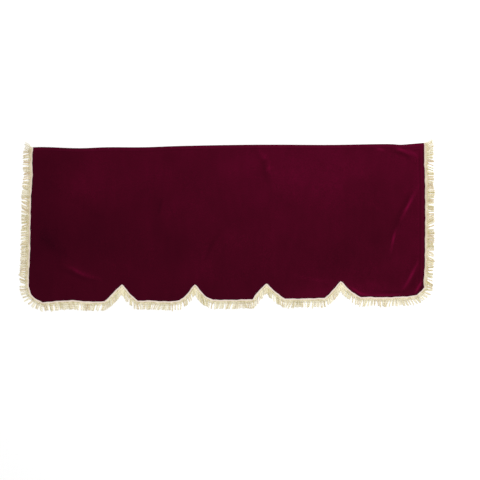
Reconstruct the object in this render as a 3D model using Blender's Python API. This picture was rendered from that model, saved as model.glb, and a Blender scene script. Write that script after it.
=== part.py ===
"""A loose piano cover lying flat, face up: a velvet panel and the fringe trim sewn round three of its edges.

The trim is one tape with fringe worked into it. It is modelled as three lengths, left, lower and right.

The frame is in metres with +Z up. The cover lies on z = 0, its width runs along X, and its plain top
edge is on the +Y side. The tables below give plan sizes in millimetres from the middle of the cover.
"""

import math
import random
from bisect import bisect_right
from typing import NamedTuple

import bpy
from mathutils import Vector
from mathutils.geometry import delaunay_2d_cdt

MM = 0.001

# Velvet
SHEET = 1.6 * MM
HEM = 2.4 * MM
HEM_WIDTH = 16 * MM
HEM_STEP = 2 * MM
HEM_UNDER_TAPE = 9 * MM
BORDER_STEP = 36 * MM
GRID_STEP = 92 * MM
GRID_CLEAR = 36 * MM
CREASE_STEPS = 6
FADE_FROM = 22 * MM
FADE_TO = 46 * MM

# Trim
TAPE_WIDTH = 12 * MM
TAPE = 1.2 * MM
GAP = 0.3 * MM
TAPE_TURN = 40 * MM
STRAND = 34 * MM
SHORTEST_SHARE = 0.82
STRAND_TURN = 120 * MM
LOCK_PITCH = 12.6 * MM
NARROWEST_SHARE = 0.6
WIDEST_SHARE = 0.84
DROP_SHARE = 0.26
LOCK_HEIGHT = 1.9 * MM
TIP_HEIGHT = 1.1 * MM
NOTCH_HANG = 0.8
NOTCH_MARGIN = 60
PATH_STEP = 4 * MM
SPLAY_AT_START = 38 * MM
SPLAY_AT_END = 14 * MM
SPLAY_REACH = 14 * MM

# Looks
VELVET_COLOUR = "#44071a"
FRINGE_COLOUR = "#e0d7ba"
SMOOTH_UNDER = math.radians(35)


class Spot(NamedTuple):
    """A point that an edge runs through, and whether the edge turns sharply there."""

    x: float
    y: float
    sharp: bool = False


class Notch(NamedTuple):
    """A pointed notch in the lower edge. A bow is how far a flank's middle stands above its chord."""

    left_x: float
    left_y: float
    apex_x: float
    apex_y: float
    right_x: float
    right_y: float
    left_bow: float
    right_bow: float


class Crease(NamedTuple):
    """A soft ridge: where its crest starts and ends, its sideways bow, its height and its half width."""

    start_x: float
    start_y: float
    end_x: float
    end_y: float
    bow: float
    height: float
    half_width: float


class Swell(NamedTuple):
    """A broad shallow rise: its middle, how far it reaches along X and Y, and its height."""

    x: float
    y: float
    reach_x: float
    reach_y: float
    height: float


LEFT_SIDE = (
    Spot(-902, 382, True),
    Spot(-908, 330),
    Spot(-908, 245),
    Spot(-916, 140),
    Spot(-920, 25),
    Spot(-922, -70),
    Spot(-927, -170),
    Spot(-931, -252),
)
LOWER_LEFT_CORNER = (
    Spot(-926, -291),
    Spot(-913, -318),
    Spot(-868, -346, True),
)
LOWER_RUNS = (
    (Spot(-810, -341), Spot(-726, -338), Spot(-656, -344)),
    (Spot(-364, -343), Spot(-279, -348)),
    (Spot(12, -344),),
    (Spot(341, -342),),
    (Spot(671, -338), Spot(741, -341), Spot(849, -337), Spot(890, -331, True)),
)
NOTCHES = (
    Notch(-576, -345, -494, -266, -420, -344, 0, -5),
    Notch(-224, -344, -151, -270, -67, -343, -7, -13),
    Notch(118, -343, 185, -270, 271, -342, 6, -5),
    Notch(457, -341, 533, -263, 628, -339, -4, -9),
)
NOTCH_ROUND_X = 6
NOTCH_ROUND_Y = 4
FLANK_SHARES = (0.33, 0.66)
RIGHT_SIDE = (
    Spot(926, -297, True),
    Spot(922, -268),
    Spot(928, -200),
    Spot(932, -30),
    Spot(934, 150),
    Spot(932, 300),
    Spot(933, 360),
    Spot(929, 381, True),
)
TOP_EDGE = (
    Spot(872, 378),
    Spot(820, 375),
    Spot(745, 379),
    Spot(491, 378),
    Spot(237, 382),
    Spot(40, 383),
    Spot(-214, 381),
    Spot(-379, 377),
    Spot(-553, 379),
    Spot(-690, 376),
    Spot(-839, 383),
)
CREASES = (
    Crease(908, 172, 770, -120, -16, 5.0, 19),
    Crease(905, -164, 816, -322, -2, 4.5, 17),
    Crease(905, -262, 876, -316, 0, 3.2, 12),
    Crease(143, 358, 236, 214, 10, 4.0, 18),
    Crease(-802, -136, -588, -256, 3, 4.0, 20),
    Crease(726, 360, 902, 284, 19, 3.4, 16),
    Crease(560, -280, 674, -318, -7, 3.2, 14),
)
SWELLS = (
    Swell(-660, 230, 200, 140, 2.4),
    Swell(-250, 165, 220, 150, 2.0),
    Swell(-470, -110, 200, 120, 1.8),
    Swell(30, -150, 260, 140, 2.0),
    Swell(480, 185, 300, 150, 2.6),
    Swell(600, -150, 190, 130, 2.0),
)


def clear_scene() -> None:
    """Removes what the file opened with."""
    for old in list(bpy.data.objects):
        bpy.data.objects.remove(old)


def through(spots: list[Spot], step: float) -> list[Vector]:
    """Points about a step apart on a smooth curve through the spots. It doesn't bend at a sharp one."""
    places = [Vector((spot.x, spot.y)) * MM for spot in spots]
    made = []
    for i in range(len(spots) - 1):
        a, b = places[i], places[i + 1]
        before = a * 2 - b if i == 0 or spots[i].sharp else places[i - 1]
        after = b * 2 - a if i + 2 == len(spots) or spots[i + 1].sharp else places[i + 2]
        count = max(1, math.ceil((b - a).length / step))
        for k in range(count):
            t = k / count
            ends = before * (-t + 2 * t**2 - t**3) + after * (t**3 - t**2)
            middle = a * (2 - 5 * t**2 + 3 * t**3) + b * (t + 4 * t**2 - 3 * t**3)
            made.append((ends + middle) / 2)
    made.append(places[-1])
    return made


def flank(start: Spot, end: Spot, bow: float) -> list[Spot]:
    """Spots on a notch's side, between its ends."""
    spots = []
    for share in FLANK_SHARES:
        rise = bow * math.sin(math.pi * share)
        spots.append(Spot(start.x + (end.x - start.x) * share, start.y + (end.y - start.y) * share + rise))
    return spots


def notch_spots(notch: Notch) -> list[Spot]:
    """A notch from its left foot to its right foot, with its point rounded off."""
    left = Spot(notch.left_x, notch.left_y, True)
    right = Spot(notch.right_x, notch.right_y, True)
    apex_left = Spot(notch.apex_x - NOTCH_ROUND_X, notch.apex_y - NOTCH_ROUND_Y)
    apex_right = Spot(notch.apex_x + NOTCH_ROUND_X, notch.apex_y - NOTCH_ROUND_Y)
    rising = flank(left, apex_left, notch.left_bow)
    falling = flank(apex_right, right, notch.right_bow)
    return [left, *rising, apex_left, apex_right, *falling, right]


def seam_spots() -> list[Spot]:
    """The line where velvet meets tape, from the top left corner down, along and up to the top right."""
    spots = [*LEFT_SIDE, *LOWER_LEFT_CORNER]
    for run, notch in zip(LOWER_RUNS, NOTCHES):
        spots += [*run, *notch_spots(notch)]
    return spots + [*LOWER_RUNS[-1], *RIGHT_SIDE]


class Path:
    """A line in plan, measured by the distance along it and running on straight past both of its ends."""

    def __init__(self, points: list[Vector]) -> None:
        self.points = points
        self.along = [0.0]
        for a, b in zip(points, points[1:]):
            self.along.append(self.along[-1] + (b - a).length)
        self.length = self.along[-1]

    def at(self, s: float) -> Vector:
        """The point at distance s."""
        i = min(max(bisect_right(self.along, s) - 1, 0), len(self.points) - 2)
        share = (s - self.along[i]) / (self.along[i + 1] - self.along[i])
        return self.points[i] + (self.points[i + 1] - self.points[i]) * share

    def along_at(self, spot: Spot) -> float:
        """The distance at which the line passes a spot that it runs through."""
        place = Vector((spot.x, spot.y)) * MM
        i = min(range(len(self.points)), key=lambda k: (self.points[k] - place).length)
        return self.along[i]

    def outward(self, s: float, window: float) -> Vector:
        """The direction out of the cloth at s, averaged over a window so that it turns gradually."""
        steps = 24
        total = Vector((0, 0))
        for k in range(steps):
            middle = s + window * ((k + 0.5) / steps - 0.5)
            ahead = self.at(middle + window / steps) - self.at(middle - window / steps)
            total += Vector((ahead.y, -ahead.x)).normalized()
        return total.normalized()


def offset(points: list[Vector], distance: float, closed: bool) -> list[Vector]:
    """The line moved to its right, mitred at its corners."""
    moved = []
    count = len(points)
    for i, here in enumerate(points):
        back = points[i - 1] if closed or i > 0 else here
        ahead = points[(i + 1) % count] if closed or i + 1 < count else here
        sides = [Vector((b.y - a.y, a.x - b.x)).normalized() for a, b in ((back, here), (here, ahead)) if a != b]
        mean = sum(sides, Vector((0, 0))) / len(sides)
        moved.append(here + mean * (distance / mean.length_squared))
    return moved


def crest(crease: Crease) -> list[Vector]:
    """Points along a crease's crest, a chord bowed sideways."""
    start = Vector((crease.start_x, crease.start_y)) * MM
    end = Vector((crease.end_x, crease.end_y)) * MM
    side = Vector((start.y - end.y, end.x - start.x)).normalized() * crease.bow * MM
    shares = [k / CREASE_STEPS for k in range(CREASE_STEPS + 1)]
    return [start.lerp(end, share) + side * math.sin(math.pi * share) for share in shares]


def nearest(place: Vector, line: list[Vector]) -> tuple[float, float]:
    """How far a place is from a line, and how far along the line its nearest point is, from 0 to 1."""
    best, along = math.inf, 0.0
    for i, (a, b) in enumerate(zip(line, line[1:])):
        share = min(max((place - a).dot(b - a) / (b - a).length_squared, 0.0), 1.0)
        away = (place - a.lerp(b, share)).length
        if away < best:
            best, along = away, (i + share) / (len(line) - 1)
    return best, along


def lift(place: Vector, crests: list[list[Vector]], to_border: float) -> float:
    """How far the cloth stands off the surface. Creases and swells both fade out near the border."""
    height = 0.0
    for crease, line in zip(CREASES, crests):
        away, along = nearest(place, line)
        slope = max(1 - away / (crease.half_width * MM), 0.0)
        height = max(height, crease.height * slope * math.sin(math.pi * along) ** 0.6)
    for swell in SWELLS:
        out_x = (place.x / MM - swell.x) / swell.reach_x
        out_y = (place.y / MM - swell.y) / swell.reach_y
        height += swell.height * max(1 - out_x**2 - out_y**2, 0.0) ** 2
    fade = min(max((to_border - FADE_FROM) / (FADE_TO - FADE_FROM), 0.0), 1.0)
    return height * fade * MM


def inside(place: Vector, border: list[Vector]) -> bool:
    """Whether a place is inside a closed line, by how often a ray along +X crosses it."""
    crossings = 0
    for a, b in zip(border, border[1:]):
        if (a.y > place.y) != (b.y > place.y):
            crossings += place.x < a.x + (b.x - a.x) * (place.y - a.y) / (b.y - a.y)
    return crossings % 2 == 1


def inner_grid(border: list[Vector], crests: list[list[Vector]]) -> list[Vector]:
    """Points in staggered rows over the middle of the cloth, clear of its border and its creases."""
    spots = []
    left, right = min(p.x for p in border), max(p.x for p in border)
    low, high = min(p.y for p in border), max(p.y for p in border)
    for row in range(int((high - low) / GRID_STEP) + 1):
        for column in range(int((right - left) / GRID_STEP) + 1):
            x = left + (column + 0.5 * (row % 2)) * GRID_STEP
            place = Vector((x, low + row * GRID_STEP))
            clear = all(nearest(place, line)[0] > GRID_CLEAR for line in [border, *crests])
            if clear and inside(place, border):
                spots.append(place)
    return spots


def build_velvet() -> bpy.types.Object:
    """The panel: a thin sheet with a thicker hem all round, lifted off the surface by creases and swells."""
    seam = through(seam_spots(), BORDER_STEP)
    top = through([RIGHT_SIDE[-1], *TOP_EDGE, LEFT_SIDE[0]], BORDER_STEP)
    edge = offset(seam, HEM_UNDER_TAPE, closed=False) + top[1:-1]
    rings = [edge, offset(edge, -HEM_WIDTH, closed=True), offset(edge, -HEM_WIDTH - HEM_STEP, closed=True)]
    crests = [crest(crease) for crease in CREASES]
    points, lines = [], []
    for ring in rings:
        first, count = len(points), len(ring)
        lines += [(first + k, first + (k + 1) % count) for k in range(count)]
        points += ring
    for crease, line in zip(CREASES, crests):
        foot = crease.half_width * MM
        for run in (line, offset(line, foot, closed=False)[1:-1], offset(line, -foot, closed=False)[1:-1]):
            lines += [(len(points) + k, len(points) + k + 1) for k in range(len(run) - 1)]
            points += run
    border = [*edge, edge[0]]
    points += inner_grid(border, crests)
    plan, _, triangles, _, _, _ = delaunay_2d_cdt(points, lines, [], 1, 1e-6)
    under, over = [], []
    for place in plan:
        to_border = nearest(place, border)[0]
        low = lift(place, crests, to_border)
        thickness = HEM if to_border < HEM_WIDTH + HEM_STEP / 2 else SHEET
        under.append((place.x, place.y, low))
        over.append((place.x, place.y, low + thickness))
    return closed_sheet("velvet_panel", under, over, triangles)


def closed_sheet(name: str, under: list, over: list, triangles: list) -> bpy.types.Object:
    """A sheet from its upper triangles, the same ones turned over below, and a rim between them."""
    count = len(under)
    faces = []
    sides = set()
    for a, b, c in triangles:
        faces += [(a + count, b + count, c + count), (c, b, a)]
        sides |= {(a, b), (b, c), (c, a)}
    faces += [(a, b, b + count, a + count) for a, b in sorted(sides) if (b, a) not in sides]
    return mesh_object(name, under + over, faces)


def mesh_object(name: str, points: list, faces: list) -> bpy.types.Object:
    """A new object in the scene, shaded smooth but for its sharp edges."""
    mesh = bpy.data.meshes.new(name)
    mesh.from_pydata(points, [], faces)
    mesh.shade_smooth()
    mesh.set_sharp_from_angle(angle=SMOOTH_UNDER)
    made = bpy.data.objects.new(name, mesh)
    bpy.context.scene.collection.objects.link(made)
    return made


class Strip:
    """Points and faces of a solid drawn from four-cornered rings."""

    def __init__(self) -> None:
        self.points: list[tuple[float, float, float]] = []
        self.faces: list[tuple[int, ...]] = []

    def ring(self, left: Vector, right: Vector, low: float, high: float) -> list[int]:
        """Four corners over two plan points, in turn left, right, right and left."""
        first = len(self.points)
        self.points += [(left.x, left.y, low), (right.x, right.y, low)]
        self.points += [(right.x, right.y, high), (left.x, left.y, high)]
        return [first, first + 1, first + 2, first + 3]

    def wall(self, ring: list[int], further: list[int], corner: int) -> None:
        """The face from one side of a ring to the same side of the next ring."""
        after = (corner + 1) % 4
        self.faces.append((ring[corner], ring[after], further[after], further[corner]))

    def place(self, corner: int) -> Vector:
        """The plan position of a corner."""
        return Vector(self.points[corner][:2])


def bunched(s: float, length: float) -> float:
    """Where along the trim the tip of a strand rooted at s lies: tips draw together in uneven bunches.

    It grows with s everywhere, so that no two locks cross. At both ends the last locks splay outwards.
    """
    wave = 5.5 * MM * math.sin(s / (17 * MM)) + 4.5 * MM * math.sin(s / (29 * MM) + 1.3)
    drift = 7 * MM * math.sin(s / (61 * MM) + 0.4)
    at_start = SPLAY_AT_START * math.exp(-s / SPLAY_REACH)
    at_end = SPLAY_AT_END * math.exp((s - length) / SPLAY_REACH)
    return s + wave + drift - at_start + at_end


def tape_edge(path: Path, s: float) -> Vector:
    """The tape's outer edge at s."""
    return path.at(s) + path.outward(s, TAPE_TURN) * TAPE_WIDTH


def lie(path: Path, s: float) -> Vector:
    """The direction in which a strand lies: out of the cloth, and nearly straight down inside a notch."""
    x = path.at(s).x / MM
    hang = 0.0
    for notch in NOTCHES:
        into = min(x - notch.left_x, notch.right_x - x) + NOTCH_MARGIN
        hang = max(hang, min(into / NOTCH_MARGIN, 1.0) * NOTCH_HANG)
    return path.outward(s, STRAND_TURN).lerp(Vector((0, -1)), hang).normalized()


def add_lock(trim: Strip, path: Path, root: list[int], start: float, end: float, length: float) -> None:
    """One lock, from a piece of the tape's outer wall down to the surface and level out to its tip."""
    bunch_start, bunch_end = bunched(start, path.length), bunched(end, path.length)
    middle = (bunch_start + bunch_end) / 2
    half = min(end - start, bunch_end - bunch_start) / 2
    tips = [tape_edge(path, s) + lie(path, s) * length for s in (middle - half, middle + half)]
    left, right = trim.place(root[0]), trim.place(root[1])
    last = root
    for share, height in ((DROP_SHARE, LOCK_HEIGHT), (1.0, TIP_HEIGHT)):
        ring = trim.ring(left.lerp(tips[0], share), right.lerp(tips[1], share), 0.0, height)
        for corner in range(4):
            trim.wall(last, ring, corner)
        last = ring
    trim.faces.append(tuple(last))


def build_trim(name: str, path: Path, start: float, end: float) -> bpy.types.Object:
    """A length of trim: a flat header tape on the hem, with locks of fringe drawn out of its outer wall."""
    chance = random.Random(name)
    count = round((end - start) / LOCK_PITCH)
    pitch = (end - start) / count
    stations = [start]
    for k in range(count):
        middle = start + (k + 0.5) * pitch
        half = pitch / 2 * chance.uniform(NARROWEST_SHARE, WIDEST_SHARE)
        stations += [middle - half, middle + half]
    stations.append(end)
    trim = Strip()
    rings = [trim.ring(path.at(s), tape_edge(path, s), HEM + GAP, HEM + GAP + TAPE) for s in stations]
    trim.faces += [tuple(rings[0]), tuple(reversed(rings[-1]))]
    for i, (ring, further) in enumerate(zip(rings, rings[1:])):
        for corner in (0, 2, 3):
            trim.wall(further, ring, corner)
        if i % 2 == 0:
            trim.wall(further, ring, 1)
        else:
            length = STRAND * chance.uniform(SHORTEST_SHARE, 1.0)
            root = [ring[1], further[1], further[2], ring[2]]
            add_lock(trim, path, root, stations[i], stations[i + 1], length)
    return mesh_object(name, trim.points, trim.faces)


def build_trims() -> list[bpy.types.Object]:
    """The trim's three lengths, which meet where the tape starts to turn each lower corner."""
    path = Path(through(seam_spots(), PATH_STEP))
    turns = (path.along_at(LEFT_SIDE[-1]), path.along_at(RIGHT_SIDE[0]))
    return [
        build_trim("fringe_left", path, 0.0, turns[0] - GAP / 2),
        build_trim("fringe_lower", path, turns[0] + GAP / 2, turns[1] - GAP / 2),
        build_trim("fringe_right", path, turns[1] + GAP / 2, path.length),
    ]


def linear(hex_colour: str) -> tuple[float, float, float, float]:
    """An sRGB hex colour as linear RGBA."""
    channels = [int(hex_colour[k : k + 2], 16) / 255 for k in (1, 3, 5)]
    red, green, blue = (c / 12.92 if c <= 0.04045 else ((c + 0.055) / 1.055) ** 2.4 for c in channels)
    return red, green, blue, 1.0


def dress(made: bpy.types.Object, name: str, colour: str, roughness: float) -> None:
    """Gives an object its own material."""
    material = bpy.data.materials.new(name)
    material.use_nodes = True
    shader = material.node_tree.nodes["Principled BSDF"]
    shader.inputs["Base Color"].default_value = linear(colour)
    shader.inputs["Roughness"].default_value = roughness
    shader.inputs["Metallic"].default_value = 0.0
    made.data.materials.append(material)


def centre(made: list[bpy.types.Object]) -> None:
    """Moves the points of all the objects so that the middle of their common outline is at x = y = 0."""
    corners = [vertex.co for item in made for vertex in item.data.vertices]
    middle_x = (min(c.x for c in corners) + max(c.x for c in corners)) / 2
    middle_y = (min(c.y for c in corners) + max(c.y for c in corners)) / 2
    for corner in corners:
        corner.x -= middle_x
        corner.y -= middle_y


def main() -> None:
    """Builds the panel and the trim, and gives each its look."""
    clear_scene()
    velvet = build_velvet()
    trims = build_trims()
    centre([velvet, *trims])
    dress(velvet, "burgundy_velvet", VELVET_COLOUR, 0.9)
    for trim in trims:
        dress(trim, trim.name + "_yarn", FRINGE_COLOUR, 0.75)


main()
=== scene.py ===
"""Looks of a loose piano cover that lies flat and face up: its velvet panel, its header tape and its fringe.

Plan sizes in the tables are in millimetres from the middle of the cover, with +X to the right and +Y
towards the plain top edge. Shapes are worked out in millimetres and put into the meshes in metres.
"""

import logging
import math
import random
from collections.abc import Sequence
from dataclasses import dataclass
from enum import Enum
from itertools import pairwise

import bpy
import numpy as np
from mathutils import Matrix, Vector


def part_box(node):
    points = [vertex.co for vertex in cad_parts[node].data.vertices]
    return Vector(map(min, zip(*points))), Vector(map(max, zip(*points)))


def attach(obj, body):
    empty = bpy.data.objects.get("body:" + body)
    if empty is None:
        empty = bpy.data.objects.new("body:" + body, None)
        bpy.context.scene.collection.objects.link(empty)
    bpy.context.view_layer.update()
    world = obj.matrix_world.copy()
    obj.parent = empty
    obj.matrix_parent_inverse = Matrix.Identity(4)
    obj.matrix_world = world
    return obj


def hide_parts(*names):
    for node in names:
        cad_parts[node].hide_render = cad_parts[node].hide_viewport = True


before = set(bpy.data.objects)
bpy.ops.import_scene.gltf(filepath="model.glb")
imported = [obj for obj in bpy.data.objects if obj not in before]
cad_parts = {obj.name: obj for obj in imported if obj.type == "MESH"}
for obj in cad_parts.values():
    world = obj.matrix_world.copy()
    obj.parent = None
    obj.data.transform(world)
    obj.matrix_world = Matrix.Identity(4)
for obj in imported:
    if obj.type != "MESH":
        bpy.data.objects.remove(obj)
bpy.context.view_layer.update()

MM = 0.001
SMOOTH_UNDER = math.radians(75)
# So many places at once are measured against a line, which bounds the memory that it takes.
BATCH = 4000
CREST_POINTS = 13
NOISE_MEAN = 0.5
LOG = logging.getLogger("piano_cover")


@dataclass(frozen=True)
class Spot:
    """A point that an edge runs through, and whether the edge turns sharply there."""

    x: float
    y: float
    sharp: bool = False


@dataclass(frozen=True)
class Notch:
    """A pointed notch in the lower edge. A bow is how far a flank's middle stands above its chord."""

    left: Spot
    apex: Spot
    right: Spot
    left_bow: float
    right_bow: float


@dataclass(frozen=True)
class Crease:
    """A soft ridge: the ends of its crest, its sideways bow, its height and its half width."""

    start: tuple[float, float]
    end: tuple[float, float]
    bow: float
    height: float
    half_width: float


@dataclass(frozen=True)
class PaintedShadingLine:
    """A line of painted highlight beside a crease or fold, or of painted shade where the tone is negative."""

    places: tuple[tuple[float, float], ...]
    width: float
    tone: float


@dataclass(frozen=True)
class Swell:
    """A broad patch: its middle, how far it reaches along X and Y, and its height or tone."""

    x: float
    y: float
    reach_x: float
    reach_y: float
    amount: float


@dataclass(frozen=True)
class Ripple:
    """A wave: its height, how far along X and along Y turns it by one radian, and its phase."""

    height: float
    x_length: float
    y_length: float = math.inf
    phase: float = 0.0


@dataclass(frozen=True)
class Band:
    """A soft line beside the edge: how far inside the edge it is, its height or tone, and its width."""

    inset: float
    amount: float
    width: float


class Stretch(Enum):
    """The three lengths of trim, each by the name of the solid that it replaces."""

    LEFT = "fringe_left"
    LOWER = "fringe_lower"
    RIGHT = "fringe_right"


# Painted light and shade: how much paler than its mean each length of trim is painted, to set how brightly it
# looks lit.
PAINTED_LIGHT_BY_STRETCH = {Stretch.LEFT: -0.1, Stretch.LOWER: 0.14, Stretch.RIGHT: -0.24}
# Where the fringe parts, seen at the strands' tips: along Y on the sides and along X below.
GAPS = {
    Stretch.LEFT: (
        377, 345, 323, 300, 267, 248, 229, 210, 190, 164, 140, 118, 93, 70, 46, 18, -15, -35, -53,
        -222, -235, -250, -268,
    ),
    Stretch.LOWER: (
        -976, -968, -956, -942, -928, -914, -900, -886, -873, -860, -833, -813, -783, -763, -696,
        -624, -595, -461, -447, -434, -422, -412, -383, -355, -318, -256, -240, -222, -206, -185,
        -169, -81, -71, -56, -39, -18, 19, 35, 56, 70, 134, 147, 211, 229, 276, 295, 355, 369, 389,
        430, 451, 469, 499, 577, 593, 630, 647, 664, 681, 704, 724, 748, 768, 785, 802, 818, 838,
        859, 875, 890, 904, 918, 932, 946, 956, 966, 976,
    ),
    Stretch.RIGHT: (
        332, 308, 288, 273, 259, 247, 197, 94, 52, 3, -18, -41, -56, -138, -162, -215, -232, -256,
        -279,
    ),
}
LEFT_SIDE = (
    Spot(-902, 382, True),
    Spot(-908, 330),
    Spot(-908, 245),
    Spot(-916, 140),
    Spot(-920, 25),
    Spot(-922, -70),
    Spot(-927, -170),
    Spot(-931, -252),
)
LOWER_LEFT_CORNER = (
    Spot(-926, -291),
    Spot(-913, -318),
    Spot(-868, -346, True),
)
LOWER_RUNS = (
    (Spot(-810, -341), Spot(-726, -338), Spot(-656, -344)),
    (Spot(-364, -343), Spot(-279, -348)),
    (Spot(12, -344),),
    (Spot(341, -342),),
    (Spot(671, -338), Spot(741, -341), Spot(849, -337), Spot(890, -331, True)),
)
NOTCHES = (
    Notch(Spot(-576, -345, True), Spot(-494, -266), Spot(-420, -344, True), 0, -5),
    Notch(Spot(-224, -344, True), Spot(-151, -270), Spot(-67, -343, True), -7, -13),
    Notch(Spot(118, -343, True), Spot(185, -270), Spot(271, -342, True), 6, -5),
    Notch(Spot(457, -341, True), Spot(533, -263), Spot(628, -339, True), -4, -9),
)
NOTCH_ROUND_X = 6
NOTCH_ROUND_Y = 4
FLANK_SHARES = (0.33, 0.66)
RIGHT_SIDE = (
    Spot(926, -297, True),
    Spot(922, -268),
    Spot(928, -200),
    Spot(932, -30),
    Spot(934, 150),
    Spot(932, 300),
    Spot(933, 360),
    Spot(929, 381, True),
)
TOP_EDGE = (
    Spot(872, 378),
    Spot(820, 375),
    Spot(745, 379),
    Spot(491, 378),
    Spot(237, 382),
    Spot(40, 383),
    Spot(-214, 381),
    Spot(-379, 377),
    Spot(-553, 379),
    Spot(-690, 376),
    Spot(-839, 383),
)
CREASES = (
    Crease((908, 172), (770, -120), -16, 5.0, 19),
    Crease((905, -164), (816, -322), -2, 4.5, 17),
    Crease((905, -262), (876, -316), 0, 3.2, 12),
    Crease((143, 358), (236, 214), 10, 4.0, 18),
    Crease((-802, -136), (-588, -256), 3, 4.0, 20),
    Crease((726, 360), (902, 284), 19, 3.4, 16),
    Crease((560, -280), (674, -318), -7, 3.2, 14),
    Crease((779, -90), (757, -168), -3, 1.9, 15),
    Crease((228, 230), (248, 150), 3, 1.4, 15),
    Crease((780, 368), (900, 316), 9, 1.3, 11),
    Crease((700, 362), (752, 347), 2, 1.2, 11),
    Crease((296, -226), (438, -266), 4, 1.0, 13),
    Crease((-302, 132), (-318, 62), 4, 0.8, 14),
    Crease((-890, -20), (-760, -116), -4, 1.2, 18),
    Crease((-690, 120), (-560, 40), -8, 0.9, 17),
    Crease((640, 120), (742, 40), 9, 0.8, 15),
    Crease((-25, -18), (-104, -172), 5, 1.1, 16),
)
# Painted highlights along the creases and folds, and painted shade where the tone is negative.
PAINTED_SHADING_LINES = (
    PaintedShadingLine(((140, 362), (178, 332), (193, 311), (197, 285), (208, 256), (234, 198)), 7, 0.4),
    PaintedShadingLine(((180, 330), (194, 306), (197, 284), (206, 260)), 5, 1.1),
    PaintedShadingLine(((160, 340), (178, 290), (190, 235), (198, 170)), 13, -0.18),
    PaintedShadingLine(((924, 214), (877, 133), (856, 92), (826, 38), (800, -12)), 8, 0.42),
    PaintedShadingLine(((876, 132), (855, 90), (834, 54)), 5, 0.5),
    PaintedShadingLine(((806, 0), (790, -36), (779, -82), (771, -117), (756, -166)), 6, 0.4),
    PaintedShadingLine(((792, -30), (783, -64), (774, -106)), 4.5, 0.5),
    PaintedShadingLine(((884, 180), (842, 104), (796, 12), (762, -76)), 13, -0.2),
    PaintedShadingLine(((912, -148), (885, -200), (860, -247), (836, -287), (808, -328)), 7, 0.55),
    PaintedShadingLine(((880, -212), (862, -244), (846, -272)), 5, 0.3),
    PaintedShadingLine(((908, -200), (876, -270), (846, -320)), 10, -0.2),
    PaintedShadingLine(((918, -258), (897, -296), (876, -328)), 5, 1.0),
    PaintedShadingLine(((926, -272), (902, -316)), 4, -0.6),
    PaintedShadingLine(((-800, -148), (-726, -187), (-691, -208), (-644, -227), (-580, -244)), 9, 0.55),
    PaintedShadingLine(((-810, -178), (-735, -207), (-691, -228), (-620, -262)), 11, -0.25),
    PaintedShadingLine(((-912, 0), (-859, -42), (-772, -108), (-730, -132)), 26, -0.13),
    PaintedShadingLine(((560, -280), (606, -308), (630, -323), (690, -333)), 4.5, 0.8),
    PaintedShadingLine(((640, -326), (740, -331), (830, -327)), 4, 0.4),
    PaintedShadingLine(((680, -313), (790, -317), (890, -308)), 4, -0.25),
    PaintedShadingLine(((640, -256), (680, -276), (730, -290)), 15, 0.12),
    PaintedShadingLine(((280, -222), (400, -252), (507, -262)), 9, 0.14),
    PaintedShadingLine(((700, 362), (728, 355), (754, 347)), 5, 0.5),
    PaintedShadingLine(((772, 367), (830, 349), (856, 338), (912, 312)), 7, 0.35),
    PaintedShadingLine(((800, 360), (820, 354), (842, 344)), 5, 0.5),
    PaintedShadingLine(((836, 368), (886, 331), (910, 306)), 5, 0.25),
    PaintedShadingLine(((750, 356), (834, 331), (894, 298)), 8, -0.3),
    PaintedShadingLine(((-300, 152), (-310, 98), (-320, 46)), 7, -0.25),
    PaintedShadingLine(((-700, 126), (-620, 74), (-550, 34)), 12, -0.1),
    PaintedShadingLine(((630, 126), (700, 88), (752, 32)), 10, 0.08),
    PaintedShadingLine(((-14, 0), (-54, -60), (-80, -102), (-112, -196)), 10, -0.18),
)
SWELLS = (
    Swell(-660, 230, 200, 140, 2.4),
    Swell(-250, 165, 220, 150, 2.0),
    Swell(-470, -110, 200, 120, 1.8),
    Swell(30, -150, 260, 140, 2.0),
    Swell(480, 185, 300, 150, 2.6),
    Swell(600, -150, 190, 130, 2.0),
)
TONES = (
    Swell(360, 240, 520, 220, 0.12),
    Swell(-640, 235, 170, 130, 0.14),
    Swell(-640, -40, 360, 230, -0.2),
    Swell(-260, -100, 120, 130, -0.16),
    Swell(-330, 40, 50, 170, -0.14),
    Swell(60, 290, 150, 80, 0.1),
    Swell(700, 60, 260, 260, -0.12),
    Swell(-790, 300, 220, 130, -0.16),
    Swell(540, -120, 320, 150, -0.1),
    Swell(-880, 0, 150, 460, -0.24),
    Swell(-120, -200, 140, 110, 0.1),
    Swell(540, -350, 460, 110, 0.3),
)
# The uneven slack of the whole cloth, and the puckers along its edges.
SLACK = (Ripple(0.18, 37, 61), Ripple(0.17, 71, -29, 1.1))
PUCKERS = (Ripple(0.3, 8.3, phase=0.6), Ripple(0.2, 5.1, 97))
# Faint lines pressed in along the right side, as heights and as tones.
PRESS_RIDGES = (Band(28, 0.45, 4.2), Band(42, 0.45, 4.2))
PRESS_TONES = (Band(23, 0.12, 3.5), Band(30, -0.16, 3.5), Band(41, 0.08, 3.5))
# The darker line at the foot of the hem, and the painted shadow of the tape on the pile beside it.
HEM_FOOT = (Band(17.5, -0.2, 1.8),)
PAINTED_TAPE_SHADOW = (Band(10, -1.1, 2.2),)
# Along the seam: how the tips bunch, how slack the tape lies and how its inner edge is pulled.
BUNCHES = (Ripple(5.5, 17), Ripple(4.5, 29, phase=1.3), Ripple(7, 61, phase=0.4))
TAPE_SLACK = (Ripple(0.1, 23), Ripple(0.08, 9.7, phase=1))
TAPE_PULL = (Ripple(0.55, 11.3), Ripple(0.45, 6.1, phase=2), Ripple(0.3, 31, phase=1))


def unit(vectors: np.ndarray) -> np.ndarray:
    """The vectors at length 1."""
    return vectors / np.linalg.norm(vectors, axis=-1, keepdims=True)


def right_hand(ahead: np.ndarray) -> np.ndarray:
    """The plan direction to the right of each plan vector."""
    return unit(np.stack([ahead[..., 1], -ahead[..., 0]], axis=-1))


def smooth_step(share: np.ndarray) -> np.ndarray:
    """A soft rise from 0 to 1: three times the square of the share less twice its cube."""
    held = np.clip(share, 0.0, 1.0)
    return held**2 * (3 - 2 * held)


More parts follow.
